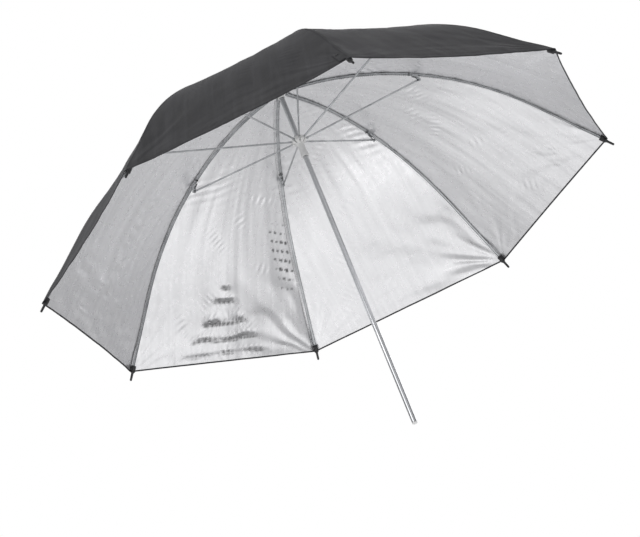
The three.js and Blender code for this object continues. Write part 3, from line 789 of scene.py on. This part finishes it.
def on_cloth(gore, radius, across):
    """Points and normals on a gore's surface, between the points of its grid."""
    radius, across = np.broadcast_arrays(np.asarray(radius, float), np.asarray(across, float))
    hem = RIM_RADIUS - HEM_BOW * (1 - across ** 2)
    inner = (radius - CLOTH_HOLE) / (JOINT_RADIUS - CLOTH_HOLE) * INNER_ROWS
    outer = INNER_ROWS + (radius - JOINT_RADIUS) / (hem - JOINT_RADIUS) * OUTER_ROWS
    row = np.clip(np.where(radius < JOINT_RADIUS, inner, outer), 0, INNER_ROWS + OUTER_ROWS - 1e-6)
    column = np.clip((across + 1) * HALF_COLUMNS, 0, 2 * HALF_COLUMNS - 1e-6)
    i, j = row.astype(int), column.astype(int)
    u, v = (row - i)[..., None], (column - j)[..., None]
    points, normals = (between(lambda a, b: gores[gore][key][i + a, j + b], u, v)
                       for key in ("points", "normals"))
    return points, normals / np.linalg.norm(normals, axis=-1, keepdims=True)


def beside_rib(rib, side, radius, edge):
    """Points and normals on the cloth at a distance from a rib's centre line."""
    across = -side * (1 - edge / (np.asarray(radius) * math.sin(HALF)))
    return on_cloth(gore_beside(rib, side), radius, across)


def cloth_strip(rib, side, radius, edges):
    """Points and normals over a strip of the cloth, in columns at those distances from a rib."""
    columns = [beside_rib(rib, side, radius, edge) for edge in edges]
    return [np.stack(grid, 1) for grid in zip(*columns)]


def sweep(name, path, first, second, section, material, body):
    """A closed bar along a path. The section's points are measured along the two directions given."""
    section = np.array(section)
    count, sides = len(path), len(section)
    points = (path[:, None] + section[None, :, :1] * first[:, None]
              + section[None, :, 1:] * second[:, None]).reshape(-1, 3)
    faces = []
    for i in range(count - 1):
        for j in range(sides):
            a, b = i * sides + j, i * sides + (j + 1) % sides
            faces.append((a, b, b + sides, a + sides))
    faces.append(tuple(range(sides))[::-1])
    faces.append(tuple((count - 1) * sides + j for j in range(sides)))
    return add_piece(name, points, faces, [material], body)


def face_outward(piece):
    """Turns the faces outward, whichever way the section went round."""
    work = bmesh.new()
    work.from_mesh(piece.data)
    bmesh.ops.recalc_face_normals(work, faces=work.faces)
    work.to_mesh(piece.data)
    work.free()
    return piece


SHARP_ANGLE = math.radians(35)
BEVELLED_ANGLE = math.radians(40)


def sharpen(piece):
    """Keeps the sharper edges crisp, and shades the rest smooth."""
    with bpy.context.temp_override(object=piece, active_object=piece, selected_objects=[piece],
                                   selected_editable_objects=[piece]):
        bpy.ops.object.shade_smooth_by_angle(angle=SHARP_ANGLE)
    return piece


HEM_SECTION = [(-0.0024, 0.0006), (0.0002, 0.0006), (0.0005, 0.0002), (0.0005, -0.0002),
               (0.0002, -0.0006), (-0.0017, -0.0006), (-0.0020, -0.0003), (-0.0027, 0.0003)]
STITCH = 0.0022
STITCH_PITCH = 0.0031
STITCH_RADIUS = 0.00028


def make_hem(rib, side):
    cut = half_gore(rib, side, "outer")
    edge, normal = cut["points"][-1], cut["normals"][-1]
    down = edge - cut["points"][-2]
    down /= np.linalg.norm(down, axis=-1, keepdims=True)
    name = f"hem_{rib}_{SIDE_NAMES[side]}"
    hem = sweep(name, edge, down, normal, HEM_SECTION, THREAD, f"rib_{rib}_outer")
    sharpen(face_outward(hem))
    gather(hem, rib, "outer")


def make_stitches(name, points, normals, body):
    """A row of stitches along a line: each is a short bead that dips into the cloth at both ends."""
    steps = np.linalg.norm(np.diff(points, axis=0), axis=1)
    run = np.concatenate([[0], np.cumsum(steps)])
    at = np.arange(STITCH_PITCH / 2, run[-1] - STITCH, STITCH_PITCH)
    place = lambda where, what: np.stack([np.interp(where, run, what[:, k]) for k in range(3)], -1)
    start, end, up = place(at, points), place(at + STITCH, points), place(at + STITCH / 2, normals)
    along = end - start
    aside = np.cross(up, along)
    aside *= STITCH_RADIUS / np.linalg.norm(aside, axis=1, keepdims=True)
    middle = (start + end) / 2 + up * STITCH_RADIUS
    corners = np.stack([start, end, middle + aside, middle - aside, middle + up * STITCH_RADIUS,
                        middle - up * 2 * STITCH_RADIUS], 1).reshape(-1, 3)
    bead = [(0, 2, 4), (2, 1, 4), (1, 3, 4), (3, 0, 4), (2, 0, 5), (1, 2, 5), (3, 1, 5), (0, 3, 5)]
    faces = [tuple(6 * k + v for v in face) for k in range(len(at)) for face in bead]
    return face_outward(add_piece(name, corners, faces, [THREAD], body))


SEAM_WIDTH = 0.0068
SEAM_EDGE = 0.0019
SEAM_LAYER = 0.00022
SEAM_ROWS = 90


def seam_radii(part):
    low, high = (CROWN_FOOT, JOINT_RADIUS) if part == "inner" else (JOINT_RADIUS, RIM_RADIUS - 0.004)
    return np.linspace(low, high, SEAM_ROWS)


def make_seam(rib, part):
    """The seam's allowance, turned to one side inside, with its stitches, and two rows outside."""
    body = f"rib_{rib}_{part}"
    radius = seam_radii(part)
    wander = 1 + 0.10 * noise(radius / 0.02, radius * 0, 50 + rib)
    edges = np.linspace(0.0004, 1, 5) * SEAM_WIDTH
    points, normals = cloth_strip(rib, 1, radius, [edge * wander for edge in edges])
    points = points - normals * (CLOTH_HALF + 2 * SEAM_LAYER)
    cloth = np.stack([np.broadcast_to(edges + rib + 0.4, points.shape[:2]),
                      np.broadcast_to(radius[:, None], points.shape[:2])], -1)
    strip = cloth_shell(f"seam_{rib}_{part}", points, normals, cloth, False, body,
                        [OUTSIDE, LINING], SEAM_LAYER)
    gather(strip, rib, part)
    p, n = beside_rib(rib, 1, radius, SEAM_WIDTH * 0.72)
    inside = make_stitches(f"seam_stitches_{rib}_{part}", p - n * (CLOTH_HALF + 3 * SEAM_LAYER), -n, body)
    gather(inside, rib, part)
    for side in (1, -1):
        p, n = beside_rib(rib, side, radius, SEAM_EDGE)
        name = f"topstitch_{rib}_{part}_{SIDE_NAMES[side]}"
        gather(make_stitches(name, p + n * CLOTH_HALF, n, body), rib, part)


for rib in range(1, RIBS + 1):
    for side in (1, -1):
        make_hem(rib, side)
    for part in ("inner", "outer"):
        make_seam(rib, part)


# ---- Ribs, tips and the cloth's ties ----

RIB_WIDE = 0.0046
RIB_SLIM = 0.0036
RIB_TALL = 0.0018
SPLICE_END = JOINT_RADIUS + 0.030
RIB_SHEET = 0.0005
RIB_TOP = RIB_HEIGHT / 2
RIB_START = 0.017
RIB_GAP = 0.00025
PIVOT_RADIUS = joints["rib_1_fold"]["pos_m"][0]
EYE_RADIUS = 0.0024
EYE_THICK = 0.0012
EYE_HOLE = 0.0011
CHEEK_INSIDE, CHEEK_OUTSIDE = 0.0019, 0.0025
PIN_RADIUS = 0.0013
TIP_SLEEVE = 0.011
TIP_PIN = 0.014
TIP_PIN_RADIUS = 0.002


class Solids:
    """Closed shapes in a rib's own plane, x outward, y across and z up, that make one piece together."""

    def __init__(self):
        self.points = []
        self.faces = []

    def add(self, points, faces):
        start = len(self.points)
        self.points += [tuple(p) for p in points]
        self.faces += [tuple(start + v for v in face) for face in faces]

    def rings(self, rings, closed=False):
        """A skin over rings of points; its ends are capped unless the rings close on themselves."""
        count, sides = len(rings), len(rings[0])
        faces = [(i * sides + j, i * sides + (j + 1) % sides,
                  (i + 1) % count * sides + (j + 1) % sides, (i + 1) % count * sides + j)
                 for i in range(count if closed else count - 1) for j in range(sides)]
        if not closed:
            faces += [tuple(range(sides))[::-1], tuple((count - 1) * sides + j for j in range(sides))]
        self.add([p for ring in rings for p in ring], faces)

    def plate(self, outline, low, high):
        """An outline of (x, z) points between two places across."""
        self.rings([[(x, y, z) for x, z in outline] for y in (low, high)])

    def ring_plate(self, x, z, inner, outer, thick, sides=24):
        """A flat ring that lies in the rib's plane."""
        section = [(inner, -thick / 2), (outer, -thick / 2), (outer, thick / 2), (inner, thick / 2)]
        turns = [2 * math.pi * i / sides for i in range(sides)]
        rings = [[(x + r * math.cos(t), y, z + r * math.sin(t)) for r, y in section] for t in turns]
        self.rings(rings, closed=True)

    def turned(self, profile, origin, along, sides=24):
        """A solid of (distance along, radius) points turned about an axis."""
        origin, along = np.array(origin), np.array(along) / np.linalg.norm(along)
        first = np.cross(along, (0, 1, 0) if abs(along[1]) < 0.9 else (1, 0, 0))
        first /= np.linalg.norm(first)
        second = np.cross(along, first)
        turns = [2 * math.pi * i / sides for i in range(sides)]
        self.rings([[origin + along * d + r * (math.cos(t) * first + math.sin(t) * second) for t in turns]
                    for d, r in profile])

    def make(self, name, rib, material, body, bevel=0.0):
        turn = (rib - 1) * SECTOR
        c, s = math.cos(turn), math.sin(turn)
        points = [(x * c - y * s, x * s + y * c, z) for x, y, z in self.points]
        piece = add_piece(name, points, self.faces, [material], body)
        face_outward(piece)
        return finish_edges(piece, bevel)


def finish_edges(piece, bevel):
    if bevel:
        modifier = piece.modifiers.new("bevel", "BEVEL")
        modifier.width = bevel
        modifier.segments = 2
        modifier.limit_method = "ANGLE"
        modifier.angle_limit = BEVELLED_ANGLE
        modifier.harden_normals = False
        graph = bpy.context.evaluated_depsgraph_get()
        mesh = bpy.data.meshes.new_from_object(piece.evaluated_get(graph))
        piece.modifiers.clear()
        old, piece.data = piece.data, mesh
        bpy.data.meshes.remove(old)
    return sharpen(piece)


def channel_section(wide):
    """A folded strip, open below: across, then up from the rib's centre line."""
    w, top, low, t = wide / 2, RIB_TOP, RIB_TOP - RIB_TALL, RIB_SHEET
    bend = 0.0006
    return [(-w, low), (-w, top - bend), (-w + bend * 0.3, top - bend * 0.3), (-w + bend, top),
            (w - bend, top), (w - bend * 0.3, top - bend * 0.3), (w, top - bend), (w, low),
            (w - t, low), (w - t, top - t - bend * 0.5), (w - t - bend * 0.5, top - t),
            (-w + t + bend * 0.5, top - t), (-w + t, top - t - bend * 0.5), (-w + t, low)]


def add_channel(solids, low, high, steps, wide=RIB_WIDE):
    rings = []
    for radius in np.linspace(low, high, steps + 1):
        slope = float(rib_slope(radius))
        z = float(rib_z(radius))
        rings.append([(radius + up * math.sin(slope), across, z + up * math.cos(slope))
                      for across, up in channel_section(wide)])
    solids.rings(rings)


def bracket_outline():
    """One cheek of the bracket at the joint, with its round lobe about the pin."""
    x, low = JOINT_RADIUS, float(rib_z(JOINT_RADIUS)) - RIB_HEIGHT / 2
    lobe = [(x + EYE_RADIUS * math.cos(t), JOINT_PIN_Z + 0.0021 * math.sin(t))
            for t in np.linspace(math.radians(-160), math.radians(-20), 9)]
    return [(x - 0.0094, low + 0.0044), (x - 0.0094, low + 0.0022), (x - 0.0040, low - 0.0012)] + lobe + [
        (x - 0.0006, low - 0.0002), (x - 0.0006, low + 0.0016)]


def make_inner_rib(rib):
    solids = Solids()
    add_channel(solids, RIB_START, JOINT_RADIUS - RIB_GAP, 48)
    solids.ring_plate(PIVOT_RADIUS, CROWN_PIVOT_Z, EYE_HOLE, EYE_RADIUS, EYE_THICK)
    root = RIB_START + 0.004
    neck = [(PIVOT_RADIUS + 0.0021, CROWN_PIVOT_Z - 0.0016),
            (root, CROWN_Z - 0.0012), (root, CROWN_Z + 0.0012),
            (PIVOT_RADIUS + 0.0021, CROWN_PIVOT_Z + 0.0010)]
    solids.plate(neck, -EYE_THICK / 2, EYE_THICK / 2)
    for side in (-1, 1):
        solids.plate(bracket_outline(), *sorted((side * CHEEK_OUTSIDE, side * CHEEK_INSIDE)))
    head = 0.0029
    rivet = [(-head, 0.0006), (-head + 0.0002, 0.0011), (-0.0026, PIN_RADIUS), (0.0026, PIN_RADIUS),
             (head - 0.0002, 0.0011), (head, 0.0006)]
    solids.turned(rivet, (JOINT_RADIUS, 0, JOINT_PIN_Z), (0, 1, 0), 20)
    piece = solids.make(f"rib_arm_{rib}_inner", rib, STEEL, f"rib_{rib}_inner", 0.00012)
    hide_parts(f"rib_{rib}_inner")


def make_outer_rib(rib):
    solids = Solids()
    add_channel(solids, JOINT_RADIUS + RIB_GAP, SPLICE_END, 8)
    add_channel(solids, SPLICE_END - 0.001, RIM_RADIUS - 0.004, 34, RIB_SLIM)
    piece = solids.make(f"rib_arm_{rib}_outer", rib, STEEL, f"rib_{rib}_outer", 0.00012)
    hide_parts(f"rib_{rib}_outer")


def make_tip(rib):
    """A moulded sleeve over the rib's end with a collar, and a round-ended pin past the hem."""
    solids = Solids()
    r, pin = TIP_SLEEVE_RADIUS, TIP_PIN_RADIUS
    sleeve = [(-TIP_SLEEVE, r - 0.0007), (-TIP_SLEEVE, r - 0.0002), (-TIP_SLEEVE + 0.0004, r), (-0.0040, r)]
    collar = [(-0.0034, r - 0.0003), (-0.0028, r), (-0.0012, r),
              (-0.0004, r - 0.0004), (0.0004, r - 0.0012)]
    point = [(0.0010, pin + 0.0003), (0.0020, pin), (TIP_PIN - 0.0016, pin - 0.0002),
             (TIP_PIN - 0.0006, pin - 0.0005), (TIP_PIN - 0.0001, pin - 0.0012)]
    profile = sleeve + collar + point
    along = (math.cos(END_SLOPE), 0, -math.sin(END_SLOPE))
    solids.turned(profile, (RIM_RADIUS, 0, RIM_Z), along, 28)
    piece = solids.make(f"tip_cap_{rib}", rib, BLACK_PLASTIC, f"rib_{rib}_outer")
    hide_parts(f"tip_{rib}")


TIE_RADIUS = JOINT_RADIUS - 0.0125
TIE_WIDTH = 0.0014
TIE_THICK = 0.0004
TIE_RINGS = ((-0.5, 0), (-0.42, TIE_THICK), (0.42, TIE_THICK), (0.5, 0), (0.5, -0.0001), (-0.5, -0.0001))


def make_tie(rib):
    """A loop of black tape that holds the seam to the rib, with a small knot below."""
    solids = Solids()
    radius = TIE_RADIUS
    slope = float(rib_slope(radius))
    w, top, low = RIB_WIDE / 2 + 0.0003, RIB_TOP + 0.0006, RIB_TOP - RIB_TALL - 0.0003
    along = np.array([math.cos(slope), 0, -math.sin(slope)])
    up = np.array([math.sin(slope), 0, math.cos(slope)])
    middle = np.array([radius, 0, float(rib_z(radius))])
    loop = [(-w, low), (-w - 0.0002, (top + low) / 2), (-w, top),
            (w, top), (w + 0.0002, (top + low) / 2), (w, low)]
    rings = []
    for run, grow in TIE_RINGS:
        ring = []
        for across, rise in loop:
            far = math.hypot(across, rise - (top + low) / 2)
            a, b = across * (1 + grow / far), (rise - (top + low) / 2) * (1 + grow / far) + (top + low) / 2
            p = middle + along * run * TIE_WIDTH + up * b
            ring.append((p[0], a, p[2]))
        rings.append(ring)
    solids.rings(rings, closed=True)
    knot = [(-0.0012, 0.0003), (-0.0008, 0.0009), (0, 0.0011), (0.0008, 0.0009), (0.0012, 0.0003)]
    place = middle + up * (low - 0.0004)
    solids.turned(knot, place, along, 10)
    solids.make(f"tie_{rib}", rib, THREAD, f"rib_{rib}_inner")


for rib in range(1, RIBS + 1):
    make_inner_rib(rib)
    make_outer_rib(rib)
    make_tip(rib)
    make_tie(rib)


# ---- The closing strap, stitched beside a rib on the outside, with a press stud ----

STRAP_NEAR = 0.005
STRAP_WIDE = 0.010
STRAP_RUN = 0.028
STRAP_HALF = 0.0004
STRAP_SLACK = 0.0010
STUD_RADIUS = 0.0032


def make_strap():
    radius = np.linspace(RIM_RADIUS - STRAP_RUN, RIM_RADIUS - 0.0012, 24)
    edges = np.linspace(STRAP_NEAR, STRAP_NEAR + STRAP_WIDE, 9)
    points, normals = cloth_strip(STRAP_RIB, -1, radius, edges)
    points = points + normals * (CLOTH_HALF + STRAP_HALF + STRAP_SLACK)
    cloth = np.stack(np.broadcast_arrays(edges[None, :], radius[:, None]), -1)
    body = f"rib_{STRAP_RIB}_outer"
    strap = cloth_shell("closing_strap_cloth", points, normals, cloth, True, body,
                        [OUTSIDE, OUTSIDE], STRAP_HALF)
    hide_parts("closing_strap")
    gather(strap, STRAP_RIB, "outer")
    middle, up = points[6, 4] + normals[6, 4] * STRAP_HALF, normals[6, 4]
    solids = Solids()
    turn = -(STRAP_RIB - 1) * SECTOR
    c, s = math.cos(turn), math.sin(turn)
    local = lambda v: (v[0] * c - v[1] * s, v[0] * s + v[1] * c, v[2])
    profile = [(-0.0002, STUD_RADIUS), (0.0004, STUD_RADIUS), (0.0009, STUD_RADIUS - 0.0006),
               (0.0010, STUD_RADIUS - 0.0014), (0.0007, STUD_RADIUS - 0.0020), (0.0007, 0.0003)]
    solids.turned(profile, local(middle), local(up), 28)
    stud = solids.make("closing_strap_stud", STRAP_RIB, BLACK_PLASTIC, body)
    gather(stud, STRAP_RIB, "outer")


make_strap()


# ---- CAD shapes that are right, with their edges rounded and their round faces smooth ----

def refine(node, body, bevel):
    source = frame["nodes"][node]
    mesh = source.data.copy()
    work = bmesh.new()
    work.from_mesh(mesh)
    bmesh.ops.remove_doubles(work, verts=work.verts, dist=1e-6)
    bmesh.ops.dissolve_limit(work, angle_limit=math.radians(1), verts=work.verts, edges=work.edges)
    work.to_mesh(mesh)
    work.free()
    piece = bpy.data.objects.new(f"{node}_finished", mesh)
    bpy.context.collection.objects.link(piece)
    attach(piece, body)
    own = WIRE if node.startswith("stretcher") else OWN_PAINTS.get(node)
    if own:
        mesh.materials.clear()
        mesh.materials.append(own)
    finish_edges(piece, bevel)
    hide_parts(node)


OWN_PAINTS = {"shaft_tube": TUBE, "shaft_end_plug": WHITE_PLASTIC}
BEVELS = {"shaft_tube": 0, "shaft_end_plug": 0.0002, "stop_pin": 0.0002, "crown_notch": 0.0002,
          "crown_ring": 0, "top_washer": 0.0003, "top_cap": 0, "catch_spring": 0.0001,
          "runner": 0.00025, "runner_ring": 0}
BEVELS.update({f"stretcher_{rib}": 0.00015 for rib in range(1, RIBS + 1)})
groups = frame["record"]["behaviour"]["bodies"]
for body, members in groups.items():
    for node in members:
        if node in BEVELS:
            refine(node, body, BEVELS[node])
